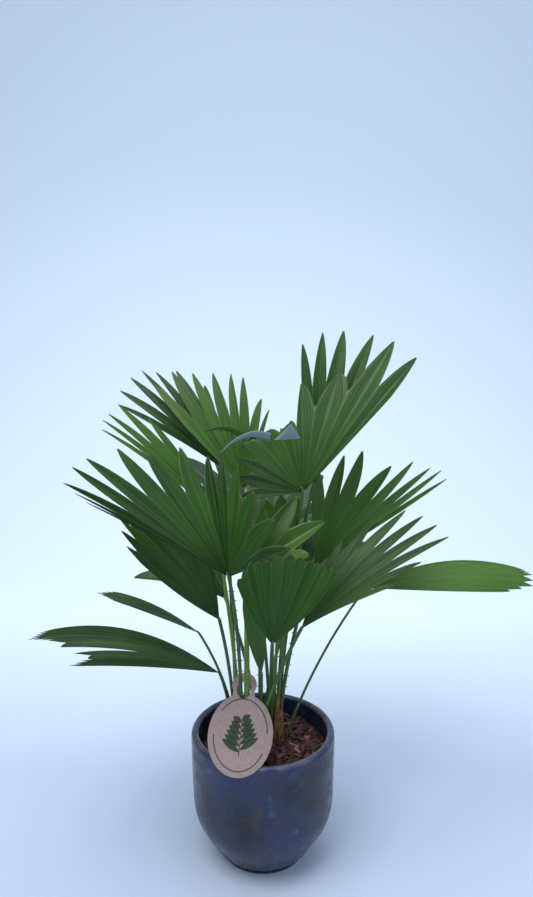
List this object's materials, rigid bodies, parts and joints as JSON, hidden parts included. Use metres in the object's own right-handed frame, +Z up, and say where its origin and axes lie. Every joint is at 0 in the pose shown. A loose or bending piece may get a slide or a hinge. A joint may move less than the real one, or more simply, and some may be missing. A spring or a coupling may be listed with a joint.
{
  "type": "potted footstool palm",
  "caption": "Footstool palm in a round glazed pot: pleated fan fronds on spiny petioles rising from short stem bases in bark soil, with a hanging card.",
  "frame": {"origin": "middle of the pot's flat underside", "axes": "+Z up, -Y towards the viewer of the plant's face, +X to the viewer's right"},
  "size_m": [0.5892, 0.3447, 0.623],
  "materials": {
    "pot_glaze": "weathered dark blue-grey glaze",
    "bark_soil": "loose red-brown bark chips",
    "brown_card": "uncoated kraft card",
    "sheath": "dry fibrous leaf sheath",
    "petiole": "smooth green leaf stalk",
    "blade": "satin dark green leaf",
    "fresh_blade": "satin light green leaf"
  },
  "bodies": {
    "root": {"pot": "pot_glaze", "soil": "bark_soil", "card": "brown_card", "stem_left": "sheath", "stem_centre": "sheath", "stem_middle": "sheath", "stem_right": "sheath", "stem_back": "sheath", "petiole_top": "petiole", "petiole_top_back": "petiole", "petiole_back_left": "petiole", "petiole_far_left": "petiole", "petiole_left_yellow": "petiole", "petiole_left_front": "petiole", "petiole_left_low": "petiole", "petiole_centre_front": "petiole", "petiole_centre_small": "petiole", "petiole_right_mid": "petiole", "petiole_right_low": "petiole", "petiole_right_droop": "petiole", "petiole_left_droop": "petiole", "petiole_left_thin": "petiole", "petiole_inner_right": "petiole", "petiole_inner_spear": "petiole", "petiole_back_centre": "petiole", "petiole_back_right": "petiole", "petiole_back_low": "petiole", "frond_top": "blade", "frond_top_back": "blade", "frond_back_left": "fresh_blade", "frond_far_left": "blade", "frond_left_yellow": "fresh_blade", "frond_left_front": "blade", "frond_left_low": "blade", "frond_centre_front": "blade", "frond_centre_small": "fresh_blade", "frond_right_mid": "blade", "frond_right_low": "blade", "frond_right_droop": "fresh_blade", "frond_left_droop": "blade", "frond_left_thin": "blade", "frond_inner_right": "fresh_blade", "frond_inner_spear": "fresh_blade", "frond_back_centre": "blade", "frond_back_right": "blade", "frond_back_low": "blade"}
  },
  "joints": []
}
